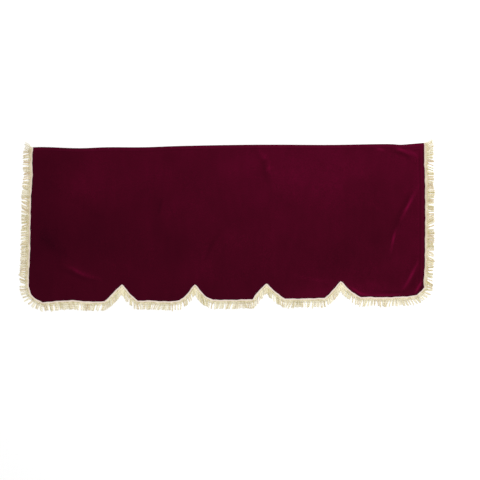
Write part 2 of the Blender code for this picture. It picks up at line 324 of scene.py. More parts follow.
def rippled(
    level: np.ndarray | float, ripples: Sequence[Ripple], x: np.ndarray, y: np.ndarray | float = 0.0
) -> np.ndarray:
    """A level with ripples on it.

    Each ripple adds its height times the sine of x and y over their lengths, plus its phase.

    Args:
        level: The level, the same everywhere or one for each place.
        ripples: The ripples.
        x: Places along X, or along the seam.
        y: Places along Y.

    Returns:
        The rippled level at each place.
    """
    for ripple in ripples:
        level = level + ripple.height * np.sin(x / ripple.x_length + y / ripple.y_length + ripple.phase)
    return level


def banded(inset: np.ndarray, bands: Sequence[Band]) -> np.ndarray:
    """The sum of the bands at each inset, each its amount times a bell curve across it."""
    return sum(band.amount * np.exp(-(((inset - band.inset) / band.width) ** 2)) for band in bands)


def corners(spots: Sequence[Spot]) -> tuple[np.ndarray, np.ndarray]:
    """The spots' places, and whether each one is sharp.

    Args:
        spots: The spots of an edge.

    Returns:
        Their plan places as rows of an array, and one truth value for each.
    """
    return np.array([(spot.x, spot.y) for spot in spots], float), np.array([spot.sharp for spot in spots])


def through(places: np.ndarray, sharp: np.ndarray, steps: int) -> np.ndarray:
    """A smooth curve through places in the plan.

    Each stretch is a cubic whose slope at a place is half the way from the place before to the one
    after. At a sharp place the missing neighbour is the stretch's other end, mirrored.

    Args:
        places: The places that the curve runs through.
        sharp: Whether the curve may turn sharply at each.
        steps: How many points each stretch gets.

    Returns:
        The curve's points, with a place at every steps-th one.
    """
    a, b = places[:-1], places[1:]
    before = np.where(sharp[:-1, None], 2 * a - b, np.vstack([2 * a[:1] - b[:1], a[:-1]]))
    after = np.where(sharp[1:, None], 2 * b - a, np.vstack([b[1:], 2 * b[-1:] - a[-1:]]))
    t = np.linspace(0, 1, steps, endpoint=False)[None, :, None]
    ends = before[:, None] * (-t + 2 * t**2 - t**3) + after[:, None] * (t**3 - t**2)
    middle = a[:, None] * (2 - 5 * t**2 + 3 * t**3) + b[:, None] * (t + 4 * t**2 - 3 * t**3)
    return np.vstack([((ends + middle) / 2).reshape(-1, 2), places[-1:]])


def moved(places: np.ndarray, distance: float, closed: bool) -> np.ndarray:
    """A line moved to its right and mitred at its corners.

    Each place goes along the mean of the two stretches' right-hand normals, by the distance over the
    mean's squared length.

    Args:
        places: The line's places in the plan.
        distance: How far it moves.
        closed: Whether the last place joins the first.

    Returns:
        The moved places.
    """
    if closed:
        after = right_hand(np.roll(places, -1, axis=0) - places)
        before = np.roll(after, 1, axis=0)
    else:
        sides = right_hand(np.diff(places, axis=0))
        before, after = np.vstack([sides[:1], sides]), np.vstack([sides, sides[-1:]])
    mean = (before + after) / 2
    return places + mean * (distance / (mean**2).sum(axis=-1, keepdims=True))


def nearest(places: np.ndarray, line: np.ndarray) -> tuple[np.ndarray, np.ndarray]:
    """How far places are from a line of straight stretches.

    Args:
        places: Places in the plan.
        line: The line's points.

    Returns:
        Each place's distance from the line, and how far along it the nearest point is, from 0 to 1.
    """
    start, run = line[:-1], np.diff(line, axis=0)
    away, along = [], []
    for part in np.array_split(places, 1 + len(places) // BATCH):
        share = np.clip(((part[:, None] - start) * run).sum(-1) / (run**2).sum(-1), 0, 1)
        gaps = np.linalg.norm(part[:, None] - start - share[..., None] * run, axis=-1)
        best = gaps.argmin(axis=1)
        rows = np.arange(len(part))
        away.append(gaps[rows, best])
        along.append((best + share[rows, best]) / len(run))
    return np.concatenate(away), np.concatenate(along)


def flank(start: Spot, end: Spot, bow: float) -> list[Spot]:
    """Spots on a notch's side, between its ends, raised by the bow times the sine of the half turn."""
    return [
        Spot(
            start.x + (end.x - start.x) * share,
            start.y + (end.y - start.y) * share + bow * math.sin(math.pi * share),
        )
        for share in FLANK_SHARES
    ]


def notch_spots(notch: Notch) -> list[Spot]:
    """A notch from its left foot to its right foot, with its point rounded off."""
    left = Spot(notch.apex.x - NOTCH_ROUND_X, notch.apex.y - NOTCH_ROUND_Y)
    right = Spot(notch.apex.x + NOTCH_ROUND_X, notch.apex.y - NOTCH_ROUND_Y)
    rising = flank(notch.left, left, notch.left_bow)
    falling = flank(right, notch.right, notch.right_bow)
    return [notch.left, *rising, left, right, *falling, notch.right]


def seam_spots() -> list[Spot]:
    """The line where velvet meets tape, from the top left corner down, along and up to the top right."""
    spots = [*LEFT_SIDE, *LOWER_LEFT_CORNER]
    for run, notch in zip(LOWER_RUNS, NOTCHES):
        spots += [*run, *notch_spots(notch)]
    return spots + [*LOWER_RUNS[-1], *RIGHT_SIDE]


class Seam:
    """The line where velvet meets tape, measured along it and running on straight past both ends."""

    STEPS = 24
    WINDOW_STEPS = 24

    def __init__(self) -> None:
        """Draws the smooth curve through the seam's spots."""
        places, sharp = corners(seam_spots())
        self.points = through(places, sharp, self.STEPS)
        gaps = np.linalg.norm(np.diff(self.points, axis=0), axis=1)
        self.along = np.concatenate([[0.0], np.cumsum(gaps)])
        self.length = float(self.along[-1])
        lower_left = len(LEFT_SIDE) - 1
        lower_right = len(places) - len(RIGHT_SIDE)
        self.turns = tuple(float(self.along[k * self.STEPS]) for k in (lower_left, lower_right))

    def at(self, s: np.ndarray) -> np.ndarray:
        """The points at distances s."""
        held = np.clip(s, 0.0, self.length)
        base = np.stack([np.interp(held, self.along, self.points[:, axis]) for axis in (0, 1)], axis=-1)
        first = unit(self.points[1] - self.points[0]) * np.minimum(s, 0.0)[..., None]
        last = unit(self.points[-1] - self.points[-2]) * np.maximum(s - self.length, 0.0)[..., None]
        return base + first + last

    def outward(self, s: np.ndarray, window: float) -> np.ndarray:
        """The direction out of the cloth, averaged over a window of the seam so that it turns gradually.

        Args:
            s: Distances along the seam.
            window: The length of seam that each direction is averaged over.

        Returns:
            One plan direction for each distance.
        """
        step = window / self.WINDOW_STEPS
        middles = s[..., None] + step * (np.arange(self.WINDOW_STEPS) + 0.5) - window / 2
        sides = right_hand(self.at(middles + step) - self.at(middles - step))
        return unit(sides.sum(axis=-2))


def put_mesh(name: str, points: np.ndarray, faces: list[list[int]], uv: np.ndarray) -> bpy.types.Object:
    """A new smooth-shaded object in the scene, with a UV map.

    Args:
        name: The object's name.
        points: Its points in millimetres, in the frame of the solids.
        faces: The point numbers of each face, in order round it.
        uv: One pair for each corner of each face, in the order of the faces.

    Returns:
        The object, which sits at the origin.
    """
    mesh = bpy.data.meshes.new(name)
    mesh.from_pydata((points * MM).tolist(), [], faces)
    mesh.shade_smooth()
    mesh.set_sharp_from_angle(angle=SMOOTH_UNDER)
    layer = mesh.uv_layers.new(name="lay")
    layer.data.foreach_set("uv", uv.astype(np.float32).ravel())
    mesh.update()
    made = bpy.data.objects.new(name, mesh)
    bpy.context.scene.collection.objects.link(made)
    return made


def put_values(made: bpy.types.Object, name: str, values: np.ndarray) -> None:
    """Stores one number for each point of the object's mesh."""
    layer = made.data.attributes.new(name, "FLOAT", "POINT")
    layer.data.foreach_set("value", values.astype(np.float32))


def tube_mesh(name: str, rings: np.ndarray, along: np.ndarray, around: np.ndarray) -> bpy.types.Object:
    """A mesh of closed tubes, each a row of rings with a cap at both ends.

    Args:
        name: The object's name.
        rings: Points by tube, by ring and by place round the ring, which turns with the tube's travel.
        along: The UV map's second value, by tube and by ring.
        around: Its first value at each place round the ring, and once more where the ring closes.

    Returns:
        The object.
    """
    tubes, count, sides = rings.shape[:3]
    index = np.arange(tubes * count * sides).reshape(tubes, count, sides)
    here, ahead = index[:, :-1], index[:, 1:]
    walls = np.stack([here, np.roll(here, -1, axis=2), np.roll(ahead, -1, axis=2), ahead], axis=-1)
    caps = np.concatenate([index[:, 0, ::-1], index[:, -1]])
    u = np.stack([around[:-1], around[1:], around[1:], around[:-1]], axis=-1)
    v = np.stack([along[:, :-1], along[:, :-1], along[:, 1:], along[:, 1:]], axis=-1)
    shape = (tubes, count - 1, sides, 4)
    wall_uv = np.stack([np.broadcast_to(u, shape), np.broadcast_to(v[:, :, None], shape)], axis=-1)
    cap_v = np.repeat(np.concatenate([along[:, 0], along[:, -1]]), sides)
    cap_uv = np.stack([np.full(cap_v.shape, around[0]), cap_v], axis=-1)
    uv = np.concatenate([wall_uv.reshape(-1, 2), cap_uv])
    return put_mesh(name, rings.reshape(-1, 3), walls.reshape(-1, 4).tolist() + caps.tolist(), uv)


def linear(hex_colour: str) -> tuple[float, float, float, float]:
    """An sRGB hex colour as linear RGBA."""
    channels = [int(hex_colour[k : k + 2], 16) / 255 for k in (1, 3, 5)]
    red, green, blue = (c / 12.92 if c <= 0.04045 else ((c + 0.055) / 1.055) ** 2.4 for c in channels)
    return red, green, blue, 1.0


def add_node(
    tree: bpy.types.NodeTree, kind: str, inputs: dict[int | str, object], **settings: object
) -> bpy.types.Node:
    """Adds a node with its settings and links.

    Args:
        tree: The material's node tree.
        kind: The node's type, such as ShaderNodeMath.
        inputs: For each input, by name or number, the socket that feeds it or its value.
        settings: The node's own properties.

    Returns:
        The node.
    """
    node = tree.nodes.new(kind)
    for name, value in settings.items():
        setattr(node, name, value)
    for key, value in inputs.items():
        if isinstance(value, bpy.types.NodeSocket):
            tree.links.new(value, node.inputs[key])
        else:
            node.inputs[key].default_value = value
    return node


def new_material(name: str) -> tuple[bpy.types.Material, bpy.types.NodeTree, bpy.types.Node]:
    """A material with a bare Principled shader, its node tree and the shader."""
    material = bpy.data.materials.new(name)
    material.use_nodes = True
    return material, material.node_tree, material.node_tree.nodes["Principled BSDF"]


@dataclass(frozen=True)
class Pattern:
    """A noise on cloth: its size, its squeeze along Y, its turn, its detail and the tone that it adds."""

    size_mm: float
    squeeze: float
    turn: float
    detail: float
    tone: float


@dataclass(frozen=True)
class PolyesterVelvet:
    """Woven burgundy polyester velvet. Its cut pile is dull face on and pinkish where it tilts away."""

    # shade and light are the darkest and lightest colours of the pile's tone, which holds painted highlights
    # and shade as well as the pile's own patches.
    shade: str = "#1f010b"
    body: str = "#3d0416"
    light: str = "#860b3d"
    thread: str = "#4c0a24"
    sheen: str = "#a80a34"
    sheen_weight: float = 0.2
    sheen_roughness: float = 0.4
    roughness: float = 0.92
    specular: float = 0.02
    # The tones at which the pile has its darkest and its lightest colour.
    darkest: float = -1.0
    lightest: float = 2.4
    patches: Pattern = Pattern(150.0, 1.0, 0.0, 3.0, 0.32)
    streaks: Pattern = Pattern(26.0, 0.3, 0.12, 4.0, 0.22)
    # Pile fibres are 0.1 mm thick, so they are drawn as short tufts that can just be seen, laid downwards.
    tufts: Pattern = Pattern(1.9, 0.45, 0.12, 3.0, 1.5)
    tuft_height_mm: float = 0.5
    tuft_strength: float = 0.55
    stitch_inset_mm: float = 13.0
    stitch_pitch_mm: float = 3.4
    stitch_height_mm: float = 0.4
    # Where a stitch fades: how far beside the row, and at which share of the pitch.
    stitch_side_mm: tuple[float, float] = (0.4, 0.8)
    stitch_end: tuple[float, float] = (0.7, 0.8)

    def make(self) -> bpy.types.Material:
        """The material. It reads the point values that hold the pile's tone, with its painted highlights and
        shade, and the UV map "lay".
        """
        material, tree, shader = new_material("burgundy_velvet_pile")
        place = add_node(tree, "ShaderNodeTexCoord", {}).outputs["Object"]
        # The point values hold the pile's tone, with its painted highlights and shade.
        tone = add_node(tree, "ShaderNodeAttribute", {}, attribute_name="pile_tone_and_painted_light").outputs["Fac"]
        for pattern in (self.patches, self.streaks, self.tufts):
            brushed = add_node(
                tree,
                "ShaderNodeMapping",
                {"Vector": place, "Scale": (1.0, pattern.squeeze, 1.0), "Rotation": (0, 0, pattern.turn)},
            ).outputs["Vector"]
            noise = add_node(
                tree,
                "ShaderNodeTexNoise",
                {"Vector": brushed, "Scale": 1000 / pattern.size_mm, "Detail": pattern.detail},
            ).outputs["Fac"]
            level = add_node(
                tree, "ShaderNodeMath", {0: noise, 1: NOISE_MEAN}, operation="SUBTRACT"
            ).outputs[0]
            tone = add_node(
                tree, "ShaderNodeMath", {0: level, 1: pattern.tone, 2: tone}, operation="MULTIPLY_ADD"
            ).outputs[0]
        to_body = add_node(
            tree, "ShaderNodeMapRange", {"Value": tone, "From Min": self.darkest, "From Max": 0.0}
        ).outputs[0]
        to_light = add_node(
            tree, "ShaderNodeMapRange", {"Value": tone, "From Min": 0.0, "From Max": self.lightest}
        ).outputs[0]
        stitch = self.stitches(tree)
        colour = linear(self.shade)
        for share, over in ((to_body, self.body), (to_light, self.light), (stitch, self.thread)):
            colour = add_node(
                tree, "ShaderNodeMix", {0: share, 6: colour, 7: linear(over)}, data_type="RGBA"
            ).outputs[2]
        # The last noise is the tufts'.
        pile = add_node(
            tree,
            "ShaderNodeBump",
            {"Height": noise, "Distance": self.tuft_height_mm * MM, "Strength": self.tuft_strength},
        ).outputs["Normal"]
        sewn = add_node(
            tree, "ShaderNodeBump", {"Height": stitch, "Distance": self.stitch_height_mm * MM, "Normal": pile}
        ).outputs["Normal"]
        tree.links.new(colour, shader.inputs["Base Color"])
        tree.links.new(sewn, shader.inputs["Normal"])
        shader.inputs["Roughness"].default_value = self.roughness
        shader.inputs["Specular IOR Level"].default_value = self.specular
        shader.inputs["Sheen Weight"].default_value = self.sheen_weight
        shader.inputs["Sheen Roughness"].default_value = self.sheen_roughness
        shader.inputs["Sheen Tint"].default_value = linear(self.sheen)
        return material

    def stitches(self, tree: bpy.types.NodeTree) -> bpy.types.NodeSocket:
        """The hem's row of stitches, 1 on thread and 0 off it.

        A stitch shows where the distance inside the edge is near the row's, and where the distance
        along the edge, as a fraction of the pitch, is under about three quarters.

        Args:
            tree: The material's node tree.

        Returns:
            The socket that carries the mask.
        """
        lay = add_node(tree, "ShaderNodeUVMap", {}, uv_map="lay").outputs["UV"]
        along, inset = add_node(tree, "ShaderNodeSeparateXYZ", {"Vector": lay}).outputs[:2]
        offset = add_node(
            tree, "ShaderNodeMath", {0: inset, 1: self.stitch_inset_mm * MM}, operation="SUBTRACT"
        ).outputs[0]
        beside = add_node(tree, "ShaderNodeMath", {0: offset}, operation="ABSOLUTE").outputs[0]
        turn = add_node(
            tree, "ShaderNodeMath", {0: along, 1: 1000 / self.stitch_pitch_mm}, operation="MULTIPLY"
        ).outputs[0]
        part = add_node(tree, "ShaderNodeMath", {0: turn}, operation="FRACT").outputs[0]
        side_fade = [side * MM for side in self.stitch_side_mm]
        masks = []
        for value, (full, none) in ((beside, side_fade), (part, self.stitch_end)):
            fade = {"Value": value, "From Min": full, "From Max": none, "To Min": 1.0, "To Max": 0.0}
            masks.append(add_node(tree, "ShaderNodeMapRange", fade).outputs[0])
        return add_node(tree, "ShaderNodeMath", dict(enumerate(masks)), operation="MULTIPLY").outputs[0]


@dataclass(frozen=True)
class WovenTape:
    """Flat woven rayon header tape: rose white by the velvet, then cream yarn heads, with painted shade down
    a groove.
    """

    band: str = "#dccac0"
    # The shadow colour comes in with the soil, the weave, and each length's painted light and shade.
    shadow: str = "#b4a286"
    # The colour of the painted shade in the groove.
    groove_shade: str = "#bdb38a"
    head_light: str = "#fbf4d6"
    head_dull: str = "#bfb184"
    # The colour of the painted shade where two yarn heads meet.
    between: str = "#8f8052"
    roughness: float = 0.6
    sheen_weight: float = 0.15
    specular: float = 0.35
    # Real threads are about half as far apart. They are drawn coarser, so that the weave can be seen.
    thread_mm: float = 1.1
    thread_width_mm: float = 1.0
    thread_tone: float = -0.16
    relief_mm: float = 0.12
    relief_strength: float = 0.8
    soil_mm: float = 45.0
    soil_detail: float = 4.0
    soil_and_shade_range: tuple[float, float] = (0.42, 0.86)
    soil_and_shade_most: float = 0.7
    heads_from_mm: float = 4.6
    heads_to_mm: float = 6.6
    groove_from_mm: float = 8.3
    groove_to_mm: float = 10.0
    # Where the painted shade in the groove is at its most and where it ends, as shares of the groove's half
    # width.
    groove_fade: tuple[float, float] = (0.5, 1.2)
    groove_shade_most: float = 0.85
    # The fringe's yarns are worked into the outer part, so the shade changes from yarn to yarn there.
    head_mm: float = 2.1
    heads_in_lock: int = 6
    # The mean shades at which a head is dullest and lightest.
    head_range: tuple[float, float] = (0.15, 0.85)
    head_rise: float = 5.0
    meeting_width: float = 0.2
    meeting_shade_most: float = 0.6

    def make(self) -> bpy.types.Material:
        """The material. The UV map gives millimetres across the tape and metres along it."""
        material, tree, shader = new_material("rose_white_woven_tape")
        place = add_node(tree, "ShaderNodeTexCoord", {}).outputs["Object"]
        lay = add_node(tree, "ShaderNodeUVMap", {}, uv_map="lay").outputs["UV"]
        across, along = add_node(tree, "ShaderNodeSeparateXYZ", {"Vector": lay}).outputs[:2]
        waves = []
        for socket, length in ((along, self.thread_mm * MM), (across, self.thread_width_mm)):
            angle = add_node(
                tree, "ShaderNodeMath", {0: socket, 1: 2 * math.pi / length}, operation="MULTIPLY"
            ).outputs[0]
            waves.append(add_node(tree, "ShaderNodeMath", {0: angle}, operation="SINE").outputs[0])
        weave = add_node(tree, "ShaderNodeMath", dict(enumerate(waves)), operation="MULTIPLY").outputs[0]
        soil = add_node(
            tree,
            "ShaderNodeTexNoise",
            {"Vector": place, "Scale": 1000 / self.soil_mm, "Detail": self.soil_detail},
        ).outputs["Fac"]
        # The point values hold each length's painted light and shade, which make the tape paler or darker on
        # top of its soil.
        paleness_and_painted_light = add_node(tree, "ShaderNodeAttribute", {}, attribute_name="paleness_and_painted_light").outputs["Fac"]
        soil_and_painted_light = add_node(tree, "ShaderNodeMath", {0: soil, 1: paleness_and_painted_light}, operation="SUBTRACT").outputs[0]
        weave_soil_and_painted_light = add_node(
            tree, "ShaderNodeMath", {0: weave, 1: self.thread_tone, 2: soil_and_painted_light}, operation="MULTIPLY_ADD"
        ).outputs[0]
        soil_and_shade_from, soil_and_shade_to = self.soil_and_shade_range
        in_soil_and_painted_shade = add_node(
            tree,
            "ShaderNodeMapRange",
            {"Value": weave_soil_and_painted_light, "From Min": soil_and_shade_from, "From Max": soil_and_shade_to, "To Max": self.soil_and_shade_most},
        ).outputs[0]
        in_heads = add_node(
            tree,
            "ShaderNodeMapRange",
            {"Value": across, "From Min": self.heads_from_mm, "From Max": self.heads_to_mm},
        ).outputs[0]
        # A line of painted shade down the groove.
        middle = (self.groove_from_mm + self.groove_to_mm) / 2
        half = (self.groove_to_mm - self.groove_from_mm) / 2
        off = add_node(tree, "ShaderNodeMath", {0: across, 1: middle}, operation="SUBTRACT").outputs[0]
        away = add_node(tree, "ShaderNodeMath", {0: off}, operation="ABSOLUTE").outputs[0]
        near, far = (half * share for share in self.groove_fade)
        in_groove_shade = add_node(
            tree,
            "ShaderNodeMapRange",
            {"Value": away, "From Min": near, "From Max": far, "To Min": self.groove_shade_most, "To Max": 0.0},
        ).outputs[0]
        heads, rise = self.heads(tree, along)
        shadow, groove_shade = linear(self.shadow), linear(self.groove_shade)
        colour = linear(self.band)
        for share, over in ((in_heads, heads), (in_soil_and_painted_shade, shadow), (in_groove_shade, groove_shade)):
            colour = add_node(
                tree, "ShaderNodeMix", {0: share, 6: colour, 7: over}, data_type="RGBA"
            ).outputs[2]
        relief = add_node(
            tree, "ShaderNodeMix", {0: in_heads, 2: weave, 3: rise}, data_type="FLOAT"
        ).outputs[0]
        normal = add_node(
            tree,
            "ShaderNodeBump",
            {"Height": relief, "Distance": self.relief_mm * MM, "Strength": self.relief_strength},
        ).outputs["Normal"]
        tree.links.new(colour, shader.inputs["Base Color"])
        tree.links.new(normal, shader.inputs["Normal"])
        shader.inputs["Roughness"].default_value = self.roughness
        shader.inputs["Sheen Weight"].default_value = self.sheen_weight
        shader.inputs["Specular IOR Level"].default_value = self.specular
        return material

    def heads(
        self, tree: bpy.types.NodeTree, along: bpy.types.NodeSocket
    ) -> tuple[bpy.types.NodeSocket, bpy.types.NodeSocket]:
        """The yarns' heads, side by side along the tape.

        Each yarn has a shade by chance, and so has each lock of six. Two yarns meet in a line of painted
        shade.

        Args:
            tree: The material's node tree.
            along: The socket that carries metres along the tape.

        Returns:
            The sockets of their colour and of their rise, which is 0 where two meet.
        """
        yarn = add_node(
            tree, "ShaderNodeMath", {0: along, 1: 1000 / self.head_mm}, operation="MULTIPLY"
        ).outputs[0]
        shades = []
        for share in (1.0, 1 / self.heads_in_lock):
            place = add_node(tree, "ShaderNodeMath", {0: yarn, 1: share}, operation="MULTIPLY").outputs[0]
            number = add_node(tree, "ShaderNodeMath", {0: place}, operation="FLOOR").outputs[0]
            chance = add_node(tree, "ShaderNodeTexWhiteNoise", {"W": number}, noise_dimensions="1D")
            shades.append(chance.outputs["Value"])
        shade = add_node(
            tree, "ShaderNodeMix", {0: 0.5, 2: shades[0], 3: shades[1]}, data_type="FLOAT"
        ).outputs[0]
        dullest, lightest = self.head_range
        lit = add_node(
            tree, "ShaderNodeMapRange", {"Value": shade, "From Min": dullest, "From Max": lightest}
        ).outputs[0]
        bulge = add_node(tree, "ShaderNodeMath", {0: yarn, 1: 0.5}, operation="PINGPONG").outputs[0]
        # Painted shade where two heads meet.
        painted_meeting_shade = add_node(
            tree,
            "ShaderNodeMapRange",
            {"Value": bulge, "From Max": self.meeting_width, "To Min": self.meeting_shade_most, "To Max": 0.0},
        ).outputs[0]
        colour = linear(self.head_dull)
        for share, over in ((lit, self.head_light), (painted_meeting_shade, self.between)):
            colour = add_node(
                tree, "ShaderNodeMix", {0: share, 6: colour, 7: linear(over)}, data_type="RGBA"
            ).outputs[2]
        rise = add_node(
            tree, "ShaderNodeMath", {0: bulge, 1: self.head_rise}, operation="MULTIPLY"
        ).outputs[0]
        return colour, rise


@dataclass(frozen=True)
class RayonYarn:
    """Twisted cream rayon yarn: soft gloss, and a fine slanting line of painted shade between its plies."""

    body: str = "#cabd80"
    blush: str = "#d6be96"
    light: str = "#fff8dc"
    # The colour of the painted shade in the groove between the plies.
    between: str = "#7d7038"
    roughness: float = 0.5
    sheen_weight: float = 0.2
    specular: float = 0.4
    twist_mm: float = 5.2
    plies: float = 2.0
    line_width: float = 0.35
    ply_shade_most: float = 0.5
    ply_height_mm: float = 0.25
    ply_strength: float = 0.7

    def make(self) -> bpy.types.Material:
        """The material. The UV map gives turns round a yarn and metres along it, point values its shade."""
        material, tree, shader = new_material("cream_twisted_rayon")
        # The second point values hold each yarn's own paleness and the painted light and shade of its length
        # of trim.
        warm, paleness_and_painted_light = (
            add_node(tree, "ShaderNodeAttribute", {}, attribute_name=name).outputs["Fac"]
            for name in ("warm", "paleness_and_painted_light")
        )
        lay = add_node(tree, "ShaderNodeUVMap", {}, uv_map="lay").outputs["UV"]
        around, along = add_node(tree, "ShaderNodeSeparateXYZ", {"Vector": lay}).outputs[:2]
        lead = add_node(
            tree, "ShaderNodeMath", {0: along, 1: 1000 / self.twist_mm}, operation="MULTIPLY"
        ).outputs[0]
        turn = add_node(
            tree, "ShaderNodeMath", {0: around, 1: self.plies, 2: lead}, operation="MULTIPLY_ADD"
        ).outputs[0]
        ply = add_node(tree, "ShaderNodeMath", {0: turn, 1: 1.0}, operation="PINGPONG").outputs[0]
        # A line of painted shade where the plies meet.
        line = add_node(
            tree,
            "ShaderNodeMapRange",
            {"Value": ply, "From Max": self.line_width, "To Min": self.ply_shade_most, "To Max": 0.0},
        ).outputs[0]
        colour = linear(self.body)
        for share, over in ((warm, self.blush), (paleness_and_painted_light, self.light), (line, self.between)):
            colour = add_node(
                tree, "ShaderNodeMix", {0: share, 6: colour, 7: linear(over)}, data_type="RGBA"
            ).outputs[2]
        normal = add_node(
            tree,
            "ShaderNodeBump",
            {"Height": ply, "Distance": self.ply_height_mm * MM, "Strength": self.ply_strength},
        ).outputs["Normal"]
        tree.links.new(colour, shader.inputs["Base Color"])
        tree.links.new(normal, shader.inputs["Normal"])
        shader.inputs["Roughness"].default_value = self.roughness
        shader.inputs["Sheen Weight"].default_value = self.sheen_weight
        shader.inputs["Specular IOR Level"].default_value = self.specular
        return material


class Outline:
    """The panel's outer edge: the seam moved out under the tape, closed by the plain top edge."""

    STEPS = 24

    def __init__(self, under_tape: float, cell: float, rows: int) -> None:
        """Draws the edge and settles where the mesh has its columns and rows.

        Args:
            under_tape: How far the hem runs on under the tape.
            cell: The size of the mesh's cells.
            rows: How many rows of points the mesh has from the lower edge to the top one.
        """
        seam, seam_sharp = corners(seam_spots())
        top, top_sharp = corners(TOP_EDGE)
        self.places = np.vstack([moved(seam, under_tape, closed=False), top])
        self.sharp = np.concatenate([seam_sharp, top_sharp, seam_sharp[:1]])
        lower_left = len(LEFT_SIDE) + 1
        lower_right = len(seam) - len(RIGHT_SIDE)
        self.breaks = (0, lower_left, lower_right, len(seam) - 1, len(self.places))
        columns = []
        for k in range(lower_left, lower_right):
            count = max(1, round(abs(self.places[k + 1, 0] - self.places[k, 0]) / cell))
            columns.append(k - lower_left + np.arange(count) / count)
        self.columns = np.concatenate([*columns, [lower_right - lower_left]])
        self.rows = np.linspace(0.0, 1.0, rows)

    def line(self, inset: float) -> np.ndarray:
        """The closed line at a distance inside the outer edge, from the top left corner round to it again."""
        places = moved(self.places, -inset, closed=True)
        return through(np.vstack([places, places[:1]]), self.sharp, self.STEPS)

    def sides(self, inset: float) -> tuple[np.ndarray, np.ndarray, np.ndarray, np.ndarray]:
        """The four sides of that line, at the mesh's columns and rows.

        Points on the lower side stand at set shares of its stretches, those on the top side at the same
        shares of the width, and those on the left and right at even shares of the height.

        Args:
            inset: The distance inside the outer edge.

        Returns:
            The lower, top, left and right sides, from left to right and from the lower edge up.
        """
        line = self.line(inset)
        left, lower, right, top = (
            line[a * self.STEPS : b * self.STEPS + 1] for a, b in pairwise(self.breaks)
        )
        left, top = left[::-1], top[::-1]
        numbers, wanted = np.arange(len(lower)), self.columns * self.STEPS
        low = np.stack([np.interp(wanted, numbers, lower[:, axis]) for axis in (0, 1)], axis=-1)
        share = (low[:, 0] - low[0, 0]) / (low[-1, 0] - low[0, 0])
        top_x = top[0, 0] + share * (top[-1, 0] - top[0, 0])
        high = np.stack([top_x, np.interp(top_x, top[:, 0], top[:, 1])], axis=-1)
        flanks = []
        for side in (left, right):
            level = side[0, 1] + self.rows * (side[-1, 1] - side[0, 1])
            flanks.append(np.stack([np.interp(level, side[:, 1], side[:, 0]), level], axis=-1))
        return low, high, flanks[0], flanks[1]


def walk_border(grid: np.ndarray) -> np.ndarray:
    """The outermost entries of a grid, from its top left corner down, along, up and back."""
    return np.concatenate([grid[::-1, 0][:-1], grid[0, :-1], grid[:-1, -1], grid[-1, ::-1][:-1]])


